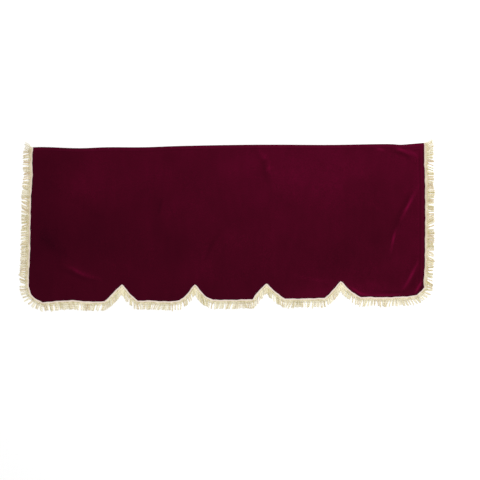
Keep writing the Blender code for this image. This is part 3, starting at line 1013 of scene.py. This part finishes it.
@dataclass
class VelvetPanel:
    """The velvet panel: one closed sheet with a folded hem, lifted by creases, swells and puckers.

    The insets are distances inside the outer edge, with the heights of the face above the underside
    there, and the floor heights are those of the underside at the first few.
    """

    shift: np.ndarray
    node: str = "velvet_panel"
    under_tape: float = 9.0
    cell: float = 6.1
    rows: int = 114
    insets: tuple[float, ...] = (0, 0.7, 2.2, 5.5, 9, 10.6, 12.2, 13, 13.8, 15.4, 16.8, 18.4, 21, 24)
    heights: tuple[float, ...] = (1.2, 2.05, 2.4, 2.4, 2.4, 2.4, 2.3, 1.9, 2.3, 2.4, 2.2, 1.65, 1.6, 1.6)
    floor_heights: tuple[float, ...] = (1.2, 0.3, 0)
    # The insets between which creases, swells and slack set in.
    fade_from: float = 22.0
    fade_to: float = 46.0
    crest_power: float = 0.6
    slack_level: float = 0.35
    # Puckers: their mean as a share of their height, where they set in, and how they die out inwards.
    pucker_level: float = 0.5
    pucker_height: float = 0.7
    pucker_from: float = 17.0
    pucker_rise: float = 9.0
    pucker_full: float = 20.0
    pucker_reach: float = 34.0
    # Past this distance from the middle an edge runs up the side and not along.
    side_from: float = 880.0
    # Where the right side's pressed lines set in.
    press_from: float = 860.0
    press_rise: float = 40.0
    # Painted light from the upper right makes the pile lighter to the right and upwards: millimetres for a
    # tone of 1. The pile is also lighter over the hem.
    painted_light_across: float = 9000.0
    painted_light_up: float = 4200.0
    hem_tone: float = 0.15
    hem_tone_from: float = 14.0
    hem_tone_fade: float = 8.0
    # The share of each line of painted highlight or shade over which each of its ends fades.
    shading_line_fade: float = 0.4
    shading_line_steps: int = 6
    # The top edge has no tape, so no painted tape shadow lies along it.
    taped_below: float = 360.0

    def outline(self) -> Outline:
        """The edge that the panel is cut to."""
        return Outline(self.under_tape, self.cell, self.rows)

    def plan(self, outline: Outline) -> tuple[np.ndarray, np.ndarray, int]:
        """The mesh's points in the plan: rings along the border, and rows and columns inside them.

        A point inside is the blend of the four sides of the innermost ring: the lower and top sides by
        its share of the height, plus the left and right ones by its share of the width, less the same
        blend of the four corners.

        Args:
            outline: The panel's edge.

        Returns:
            The points, the numbers of those on the rows and columns, and how many points a ring has.
        """
        rings = []
        for inset in self.insets:
            low, high, left, right = outline.sides(inset)
            rings.append(np.concatenate([left[::-1][:-1], low[:-1], right[:-1], high[::-1][:-1]]))
        v = outline.rows[:, None, None]
        u = ((low[:, 0] - low[0, 0]) / (low[-1, 0] - low[0, 0]))[None, :, None]
        across = (1 - v) * low[None] + v * high[None]
        up = (1 - u) * left[:, None] + u * right[:, None]
        ends = (1 - v) * ((1 - u) * low[0] + u * low[-1]) + v * ((1 - u) * high[0] + u * high[-1])
        inner = across + up - ends
        count = len(rings[0])
        numbers = np.empty(inner.shape[:2], int)
        held = numbers[1:-1, 1:-1]
        held[:] = len(rings) * count + np.arange(held.size).reshape(held.shape)
        order = walk_border(np.arange(numbers.size).reshape(numbers.shape))
        numbers.reshape(-1)[order] = (len(rings) - 1) * count + np.arange(count)
        return np.vstack([*rings, inner[1:-1, 1:-1].reshape(-1, 2)]), numbers, count

    def lift(self, places: np.ndarray, inset: np.ndarray) -> np.ndarray:
        """How far the cloth stands off the surface.

        A crease is its height times the squared cosine of a quarter turn over its half width, times a
        power of the sine of a half turn along its crest, and the highest crease counts. A swell adds its
        height times the square of one less the squared distance from its middle, and slack adds two
        slow ripples. These fade out towards the edge. Puckers are ripples that run along the edge and
        die out inwards. Pressed lines run up the right side.

        Args:
            places: The points in the plan.
            inset: How far each is inside the outer edge.

        Returns:
            The heights.
        """
        fade = np.clip((inset - self.fade_from) / (self.fade_to - self.fade_from), 0, 1)
        ridge = np.zeros(len(places))
        for crease in CREASES:
            away, along = nearest(places, crest(crease))
            slope = np.cos(np.pi / 2 * np.minimum(away / crease.half_width, 1)) ** 2
            ridge = np.maximum(ridge, crease.height * slope * np.sin(np.pi * along) ** self.crest_power)
        rise = sum(patch(places, swell) for swell in SWELLS)
        x, y = places.T
        uneven = rippled(self.slack_level, SLACK, x, y)
        wave = rippled(self.pucker_level, PUCKERS, np.where(np.abs(x) > self.side_from, y, x), x)
        near = np.clip((inset - self.pucker_from) / self.pucker_rise, 0, 1)
        near = near * np.exp(-np.maximum(inset - self.pucker_full, 0) / self.pucker_reach)
        pressed = banded(inset, PRESS_RIDGES) * self.on_right(x)
        return (ridge + rise + uneven) * fade + self.pucker_height * wave * near + pressed

    def pile_tone_and_painted_light(self, places: np.ndarray, inset: np.ndarray) -> np.ndarray:
        """A tone for the pile's colour, above 0 lighter and below 0 darker: partly the pile's own patches,
        partly painted light and shade.

        It is the sum of a slow rise to the right and up, which is painted light from the upper right, broad
        patches, a bell curve across each line of painted highlight, or of painted shade where its tone is
        negative, that dies out at its ends, faint pressed lines up the right side, a lighter band over the
        hem, a darker line at the foot of the hem, and a painted shadow beside the tape.

        Args:
            places: The points in the plan.
            inset: How far each is inside the outer edge.

        Returns:
            The tones.
        """
        x, y = places.T
        tone = x / self.painted_light_across + y / self.painted_light_up
        tone += sum(patch(places, swell) for swell in TONES)
        for shading_line in PAINTED_SHADING_LINES:
            sharp = np.zeros(len(shading_line.places), bool)
            line = through(np.array(shading_line.places, float), sharp, self.shading_line_steps)
            away, along = nearest(places, line)
            ends = smooth_step(np.minimum(along, 1 - along) / self.shading_line_fade)
            tone += shading_line.tone * ends * np.exp(-((away / shading_line.width) ** 2))
        tone += banded(inset, PRESS_TONES) * self.on_right(x)
        tone += self.hem_tone * (1 - smooth_step((inset - self.hem_tone_from) / self.hem_tone_fade))
        tone += banded(inset, HEM_FOOT)
        return tone + banded(inset, PAINTED_TAPE_SHADOW) * (y < self.taped_below)

    def on_right(self, x: np.ndarray) -> np.ndarray:
        """1 on the right side, falling to 0 inwards by a smooth step."""
        return smooth_step((x - self.press_from) / self.press_rise)

    def build(self) -> bpy.types.Object:
        """Makes the sheet: its face, its underside, and the fold of the hem where they meet."""
        outline = self.outline()
        places, numbers, count = self.plan(outline)
        edge = outline.line(0.0)
        rings = len(self.insets)
        inset = np.repeat(self.insets, count)
        inset = np.concatenate([inset, nearest(places[rings * count :], edge)[0]])
        lift = self.lift(places, inset)
        face = lift + np.interp(inset, self.insets, self.heights)
        under = lift + np.interp(inset, self.insets[: len(self.floor_heights)], self.floor_heights)
        band = np.arange(rings * count).reshape(rings, count)
        ahead = np.roll(band, -1, axis=1)
        border = np.stack([band[:-1], ahead[:-1], ahead[1:], band[1:]], axis=-1).reshape(-1, 4)
        middle = np.stack([numbers[:-1, :-1], numbers[:-1, 1:], numbers[1:, 1:], numbers[1:, :-1]], axis=-1)
        top = np.concatenate([border, middle.reshape(-1, 4)])
        bottom = top[:, ::-1]
        bottom = np.where(bottom < count, bottom, bottom + len(places) - count)
        plan = places + self.shift
        points = [np.column_stack([plan, face]), np.column_stack([plan[count:], under[count:]])]
        faces = np.concatenate([top, bottom]).tolist()
        made = put_mesh("velvet_cloth", np.concatenate(points), faces, self.lay(places, count, top))
        pile_tone_and_painted_light = self.pile_tone_and_painted_light(places, inset)
        put_values(made, "pile_tone_and_painted_light", np.concatenate([pile_tone_and_painted_light, pile_tone_and_painted_light[count:]]))
        return made

    def lay(self, places: np.ndarray, count: int, top: np.ndarray) -> np.ndarray:
        """The UV map: metres along the edge and metres inside it on the border's face, and 0 elsewhere.

        Args:
            places: The points in the plan.
            count: How many points a ring has.
            top: The faces of the upper side, with the border's first.

        Returns:
            One pair for each corner of each face.
        """
        ring = places[:count]
        steps = np.linalg.norm(np.roll(ring, -1, axis=0) - ring, axis=1)
        along = np.concatenate([[0.0], np.cumsum(steps)]) * MM
        inset = np.array(self.insets) * MM
        here, ahead = along[:-1], along[1:]
        bands = len(inset) - 1
        u = np.broadcast_to(np.stack([here, ahead, ahead, here], axis=-1), (bands, count, 4))
        v = np.stack([inset[:-1], inset[:-1], inset[1:], inset[1:]], axis=-1)
        v = np.broadcast_to(v[:, None], (bands, count, 4))
        uv = np.zeros((2 * len(top), 4, 2))
        uv[: bands * count] = np.stack([u, v], axis=-1).reshape(-1, 4, 2)
        return uv.reshape(-1, 2)

    def flat_size(self) -> tuple[float, float, float]:
        """The width, length and area of the cut, from the outer edge in the plan, in metres."""
        edge = self.outline().line(0.0) * MM
        width, length = edge.max(axis=0) - edge.min(axis=0)
        x, y = edge.T
        area = abs(float((x[:-1] * y[1:] - x[1:] * y[:-1]).sum())) / 2
        return float(width), float(length), area


def crest(crease: Crease) -> np.ndarray:
    """Points along a crease's crest: a chord bowed sideways by the sine of a half turn."""
    start, end = np.array(crease.start, float), np.array(crease.end, float)
    share = np.linspace(0, 1, CREST_POINTS)[:, None]
    side = -right_hand((end - start)[None])
    return start + (end - start) * share + side * crease.bow * np.sin(np.pi * share)


def patch(places: np.ndarray, swell: Swell) -> np.ndarray:
    """The amount times the square of one less the squared share of the reach, and 0 outside it."""
    out = ((places[:, 0] - swell.x) / swell.reach_x) ** 2 + ((places[:, 1] - swell.y) / swell.reach_y) ** 2
    return swell.amount * np.maximum(1 - out, 0.0) ** 2


def draws(chance: random.Random, low: float, high: float, count: int) -> np.ndarray:
    """So many numbers by chance, spread evenly between two bounds."""
    return np.array([chance.uniform(low, high) for _ in range(count)])


@dataclass(frozen=True)
class YarnEnds:
    """The ends of every yarn in the plan, and those of the middle line of its lock."""

    roots: np.ndarray
    tips: np.ndarray
    lock_roots: np.ndarray
    lock_tips: np.ndarray


@dataclass
class Trim:
    """One length of the trim: woven header tape on the hem, and twisted yarns that lie out from it."""

    stretch: Stretch
    seam: Seam
    start: float
    end: float
    shift: np.ndarray
    # The lengths of seam over which the directions of the tape and of the strands are averaged.
    tape_turn: float = 40.0
    strand_turn: float = 120.0
    tape_width: float = 12.0
    tape_step: float = 1.05
    rib_pitch: float = 4.2
    rib_height: float = 0.28
    rib_slant: float = 0.25
    rib_level: float = 0.6
    lock_pitch: float = 12.6
    # How much of the pitch a lock's tips take up, and how long it is as a share of the strand.
    narrowest: float = 0.6
    widest: float = 0.84
    strand: float = 34.0
    shortest: float = 0.82
    # The share by which a strand hangs straight down in a notch, and how far outside it that dies out.
    notch_hang: float = 0.8
    notch_margin: float = 60.0
    # How far the tips splay at the trim's two ends, and the length over which that dies out.
    start_splay: tuple[float, float] = (44.0, 9.0)
    end_splay: tuple[float, float] = (14.0, 14.0)
    # Between two locks' tips: the gap where they part, and the gap where they cling together.
    gap_range: tuple[float, float] = (4.5, 14.0)
    clinging_gap: float = 2.0
    least_reach: float = 2.0
    yarns_in_lock: int = 6
    root_out: float = 11.0
    tip_sway: float = 1.4
    tip_range: tuple[float, float] = (0.92, 1.08)
    # The share of its length over which a yarn draws in to its lock.
    drawn_by: float = 0.42
    wave_range: tuple[float, float] = (0.3, 1.3)
    wave_turns: float = 0.9
    yarn_radius: float = 0.95
    radius_range: tuple[float, float] = (0.88, 1.1)
    yarn_sides: int = 6
    yarn_rings: int = 11
    yarn_twist: float = 5.2
    oval_share: float = 6.0
    # A yarn's thickness at its root and its tip, and the shares of its length over which it tapers.
    root_share: float = 0.55
    root_taper: float = 0.12
    tip_share: float = 0.45
    tip_end: float = 1.04
    tip_taper: float = 0.1
    # Heights of a yarn's middle at the tape and on the floor, and of the layers that it may lie in.
    root_height: float = 3.3
    rest_height: float = 1.2
    drop_by: float = 0.34
    layers: tuple[float, ...] = (0.0, 0.0, 0.55, 1.1)
    layer_rise: float = 3.0
    layer_settle: float = 0.35
    # How pale a yarn is: its lock's chance and its own, each times the share, plus the level.
    shade_share: float = 0.6
    shade_level: float = -0.1
    # The tape's section: millimetres across it, height above the surface and how far the ribs show there.
    section: tuple[tuple[float, float, float], ...] = (
        (0.1, 2.85, 0),
        (0.0, 3.3, 0.3),
        (0.7, 3.7, 0.7),
        (1.5, 3.55, 0.4),
        (2.4, 3.85, 1),
        (4.2, 4.0, 1),
        (6.2, 4.0, 1),
        (7.4, 3.85, 1),
        (8.5, 3.4, 0.4),
        (9.4, 3.35, 0.2),
        (10.7, 3.75, 0.8),
        (11.5, 3.7, 0.8),
        (12.0, 3.3, 0.3),
        (11.8, 2.85, 0),
        (6.0, 2.75, 0),
    )

    def out_from_seam(self, s: np.ndarray, far: np.ndarray | float) -> np.ndarray:
        """The places that lie so far out from the seam at distances s."""
        return self.seam.at(s) + self.seam.outward(s, self.tape_turn) * far

    def in_notch(self, s: np.ndarray) -> np.ndarray:
        """How far into a notch each point is: 1 between its feet, falling to 0 a margin outside them."""
        x = self.seam.at(s)[..., 0]
        share = np.zeros(s.shape)
        for notch in NOTCHES:
            into = np.minimum(x - notch.left.x, notch.right.x - x) + self.notch_margin
            share = np.maximum(share, np.minimum(into / self.notch_margin, 1.0))
        return share

    def lie(self, s: np.ndarray) -> np.ndarray:
        """The direction in which a strand lies: out of the cloth, and nearly straight down in a notch."""
        hang = (self.in_notch(s) * self.notch_hang)[..., None]
        return unit(self.seam.outward(s, self.strand_turn) * (1 - hang) + np.array([0.0, -1.0]) * hang)

    def bunched(self, s: np.ndarray) -> np.ndarray:
        """Where along the trim the tip of a strand rooted at s lies.

        It is s plus three slow ripples, which draw the tips together in uneven bunches, less a splay
        that dies out from the trim's start and plus one that dies out from its end.

        Args:
            s: Distances along the seam.

        Returns:
            The distances at which the tips lie.
        """
        (start_far, start_over), (end_far, end_over) = self.start_splay, self.end_splay
        splay = end_far * np.exp((s - self.seam.length) / end_over) - start_far * np.exp(-s / start_over)
        return rippled(s, BUNCHES, s) + splay

    def build_tape(self) -> bpy.types.Object:
        """Makes the tape: its section carried along the seam, with ribs that run slanting across it.

        A rib is its height times the size of the sine of a half turn for each pitch, less a level. The
        slack and the pull of the inner edge are ripples along the seam.
        """
        count = int((self.end - self.start) / self.tape_step)
        s = np.linspace(self.start, self.end, count)
        inner = self.out_from_seam(s, rippled(0.0, TAPE_PULL, s)[:, None])[:, None]
        outer = self.out_from_seam(s, self.tape_width)[:, None]
        across, height, shows = (np.array(column) for column in zip(*self.section))
        plan = inner + (outer - inner) * (across / self.tape_width)[None, :, None] + self.shift
        turn = np.pi * (s[:, None] + self.rib_slant * across) / self.rib_pitch
        rib = np.abs(np.sin(turn)) - self.rib_level
        slack = rippled(0.0, TAPE_SLACK, s)[:, None]
        level = height + (self.rib_height * rib + slack) * shows
        rings = np.concatenate([plan, level[..., None]], axis=-1)[None]
        around = np.append(across, across[0])
        made = tube_mesh(self.stretch.value.replace("fringe", "tape"), rings, (s * MM)[None], around)
        # The length's painted light and shade, for the tape's material.
        put_values(made, "paleness_and_painted_light", np.full(rings[..., 0].size, PAINTED_LIGHT_BY_STRETCH[self.stretch]))
        return made

    def build_yarns(self) -> bpy.types.Object:
        """Makes the yarns: each a twisted oval section carried along a line from the tape to its tip.

        In the plan a yarn follows its lock's middle line, which is straight, and draws in from its place
        on the tape to its place in the lock. A slight wave is added. It drops from the tape to the floor
        or to its layer by smooth steps. The oval's radius is the yarn's, times one plus a sixth of the
        cosine of twice the angle from the twist, and it is thinner at both ends.
        """
        chance = random.Random(self.stretch.value)
        ends = self.yarn_ends(chance)
        count = len(ends.roots)
        size = draws(chance, *self.wave_range, count)[:, None, None]
        phase = draws(chance, 0, 1, count)[:, None, None]
        radius = self.yarn_radius * draws(chance, *self.radius_range, count)[:, None]
        layer = np.array([chance.choice(self.layers) for _ in range(count)])[:, None]

        along = np.linspace(0, 1, self.yarn_rings)[None]
        t = along[..., None]
        drawn = smooth_step(t / self.drawn_by)
        apart = (ends.roots - ends.lock_roots)[:, None] * (1 - drawn)
        apart = apart + (ends.tips - ends.lock_tips)[:, None] * drawn
        bend = np.sin(2 * np.pi * (t * self.wave_turns + phase)) - np.sin(2 * np.pi * phase) * (1 - t)
        run = ends.tips - ends.roots
        middle = ends.lock_roots[:, None] + (ends.lock_tips - ends.lock_roots)[:, None] * t
        plan = middle + apart - right_hand(run)[:, None] * (size * bend * t**0.5) + self.shift
        rise = layer * smooth_step(along * self.layer_rise) * (1 - self.layer_settle * along)
        rest = self.rest_height + rise
        height = rest + (self.root_height - rest) * (1 - smooth_step(along / self.drop_by))
        centres = np.concatenate([plan, height[..., None]], axis=-1)

        tangent = unit(np.gradient(centres, axis=1))
        flat = unit(np.stack([-tangent[..., 1], tangent[..., 0], np.zeros_like(height)], axis=-1))
        up = np.cross(tangent, flat)
        thickening = np.clip(self.root_share + along / self.root_taper * (1 - self.root_share), 0, 1)
        thinning = np.clip((self.tip_end - along) / self.tip_taper, self.tip_share, 1)
        length = np.linalg.norm(run, axis=1)[:, None] * along
        angle = (2 * np.pi * np.arange(self.yarn_sides) / self.yarn_sides)[None, None]
        twist = (2 * np.pi * (length / self.yarn_twist / 2 + phase[..., 0]))[..., None]
        oval = (radius * (thickening * thinning))[..., None]
        oval = oval * (1 + np.cos(2 * (angle - twist)) / self.oval_share)
        rings = (
            centres[:, :, None]
            + flat[:, :, None] * (oval * np.cos(angle))[..., None]
            + up[:, :, None] * (oval * np.sin(angle))[..., None]
        )
        around = np.arange(self.yarn_sides + 1) / self.yarn_sides
        made = tube_mesh(self.stretch.value.replace("fringe", "yarns"), rings, length * MM, around)

        each = self.yarns_in_lock
        warm, pale = (np.repeat(draws(chance, 0, 1, count // each), each) for _ in range(2))
        paleness_and_painted_light = self.shade_share * pale + self.shade_share * draws(chance, 0, 1, count)
        # The length's painted light and shade is added to the yarn's own paleness.
        paleness_and_painted_light = paleness_and_painted_light + self.shade_level + PAINTED_LIGHT_BY_STRETCH[self.stretch]
        for name, values in (("paleness_and_painted_light", paleness_and_painted_light), ("warm", warm)):
            put_values(made, name, np.repeat(values, self.yarn_rings * self.yarn_sides))
        return made

    def yarn_ends(self, chance: random.Random) -> YarnEnds:
        """Where each yarn starts and ends in the plan.

        The roots stand evenly along the tape. Every few yarns form a lock, and its tips spread evenly
        between two bounds. Two locks share the bound between them, and both draw back from it by half
        a gap, which is wide near the stretch's places in GAPS and small elsewhere.

        Args:
            chance: The source of chance.

        Returns:
            The ends of every yarn and of its lock.
        """
        count = round((self.end - self.start) / self.lock_pitch)
        pitch = (self.end - self.start) / count
        width = draws(chance, self.narrowest, self.widest, count)
        length = draws(chance, self.shortest, 1.0, count) * self.strand
        middle = self.start + (np.arange(count) + 0.5) * pitch
        half = pitch / 2 * width
        first, last = self.bunched(middle - half), self.bunched(middle + half)
        between = (last[:-1] + first[1:]) / 2
        tip_place = self.out_from_seam(between, self.tape_width) + self.lie(between) * self.strand
        seen_at = tip_place[:, 0 if self.stretch is Stretch.LOWER else 1]
        parted = np.abs(seen_at[:, None] - GAPS[self.stretch]).min(axis=1) < pitch / 2
        gap = draws(chance, *self.gap_range, len(between)) / 2
        gap = np.where(parted, gap, self.clinging_gap / 2)
        low = np.concatenate([first[:1], between + gap])
        high = np.concatenate([between - gap, last[-1:]])
        tip_middle, reach = (low + high) / 2, np.maximum(high - low, self.least_reach) / 2
        each = self.yarns_in_lock
        share = (2 * np.arange(each) + 1 - each) / each
        sway = draws(chance, -self.tip_sway, self.tip_sway, count * each).reshape(count, each)
        cut = draws(chance, *self.tip_range, count * each).reshape(count, each)
        root_at = (middle[:, None] + share * pitch / 2).ravel()
        tip_at = (tip_middle[:, None] + share * reach[:, None] + sway).ravel()
        far = (length[:, None] * cut).ravel()[:, None]
        lock_tips = self.out_from_seam(tip_middle, self.tape_width) + self.lie(tip_middle) * length[:, None]
        return YarnEnds(
            roots=self.out_from_seam(root_at, self.root_out),
            tips=self.out_from_seam(tip_at, self.tape_width) + self.lie(tip_at) * far,
            lock_roots=np.repeat(self.out_from_seam(middle, self.root_out), each, axis=0),
            lock_tips=np.repeat(lock_tips, each, axis=0),
        )


@dataclass
class Studio:
    """A pale floor, soft white light from the upper right and a camera straight above the cloth."""

    shift: np.ndarray
    photo_middle: tuple[float, float] = (62.7, -63.9)
    photo_width: float = 2254.0
    roll: float = math.radians(-0.666)
    lens: float = 85.0
    sensor: float = 36.0
    camera_reach: float = 100.0
    floor_colour: str = "#fafafa"
    floor_roughness: float = 0.9
    floor_specular: float = 0.1
    floor_half: float = 15.0
    floor_drop: float = 0.0001
    key_place: tuple[float, float, float] = (3.2, 3.2, 5.2)
    key_size: float = 4.0
    key_watts: float = 290.0
    world_strength: float = 0.76

    def add_camera(self) -> None:
        """Puts the camera where the frame's width spans the photo's, rolled as the cloth is in it."""
        data = bpy.data.cameras.new("camera")
        data.lens, data.sensor_width = self.lens, self.sensor
        data.clip_end = self.camera_reach
        camera = bpy.data.objects.new("camera", data)
        x, y = (np.array(self.photo_middle) + self.shift) * MM
        camera.location = (x, y, self.photo_width * MM * self.lens / self.sensor)
        camera.rotation_euler = (0.0, 0.0, self.roll)
        bpy.context.scene.collection.objects.link(camera)
        bpy.context.scene.camera = camera

    def add_floor(self) -> None:
        """Lays a plain pale floor under the cloth."""
        mesh = bpy.data.meshes.new("floor")
        half, z = self.floor_half, -self.floor_drop
        square = [(-half, -half, z), (half, -half, z), (half, half, z), (-half, half, z)]
        mesh.from_pydata(square, [], [(0, 1, 2, 3)])
        floor = bpy.data.objects.new("floor", mesh)
        bpy.context.scene.collection.objects.link(floor)
        material, _, shader = new_material("matt_white_floor")
        shader.inputs["Base Color"].default_value = linear(self.floor_colour)
        shader.inputs["Roughness"].default_value = self.floor_roughness
        shader.inputs["Specular IOR Level"].default_value = self.floor_specular
        mesh.materials.append(material)

    def add_lights(self) -> None:
        """Adds a broad key light from the upper right, and even light from all round."""
        data = bpy.data.lights.new("key", "AREA")
        data.shape, data.size, data.energy = "DISK", self.key_size, self.key_watts
        key = bpy.data.objects.new("key", data)
        place = Vector(self.key_place)
        aim = (-place).to_track_quat("-Z", "Y").to_matrix().to_4x4()
        key.matrix_world = Matrix.Translation(place) @ aim
        bpy.context.scene.collection.objects.link(key)
        world = bpy.data.worlds.new("soft_light")
        world.use_nodes = True
        sky = world.node_tree.nodes["Background"]
        sky.inputs["Color"].default_value = (1.0, 1.0, 1.0, 1.0)
        sky.inputs["Strength"].default_value = self.world_strength
        bpy.context.scene.world = world
        bpy.context.scene.view_settings.view_transform = "Standard"


def main() -> None:
    """Builds the cloth, the trim and the studio, and reports each piece."""
    logging.basicConfig(level=logging.INFO, format="%(name)s: %(message)s")
    panel = VelvetPanel(np.zeros(2))
    edge = panel.outline().line(0.0)
    low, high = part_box(panel.node)
    solid_middle = np.array([low[0] + high[0], low[1] + high[1]]) / 2 / MM
    panel.shift = solid_middle - (edge.max(axis=0) + edge.min(axis=0)) / 2
    LOG.info("the drawing moves by %.2f, %.2f mm onto the solids", *panel.shift)
    studio = Studio(panel.shift)
    studio.add_camera()
    studio.add_floor()
    studio.add_lights()
    cloth = panel.build()
    cloth.data.materials.append(PolyesterVelvet().make())
    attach(cloth, "root")
    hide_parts(panel.node)
    LOG.info("%s: %d faces", cloth.name, len(cloth.data.polygons))
    seam = Seam()
    turns = (0.0, *seam.turns, seam.length)
    tape, yarn = WovenTape().make(), RayonYarn().make()
    for stretch, (start, end) in zip(Stretch, pairwise(turns)):
        trim = Trim(stretch, seam, start, end, panel.shift)
        for piece, finish in ((trim.build_tape(), tape), (trim.build_yarns(), yarn)):
            piece.data.materials.append(finish)
            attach(piece, "root")
            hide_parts(stretch.value)
            LOG.info("%s: %d faces", piece.name, len(piece.data.polygons))
    width, length, area = panel.flat_size()
    LOG.info("the cut is %.3f by %.3f m, and %.3f square metres", width, length, area)


if __name__ == "__main__":
    main()
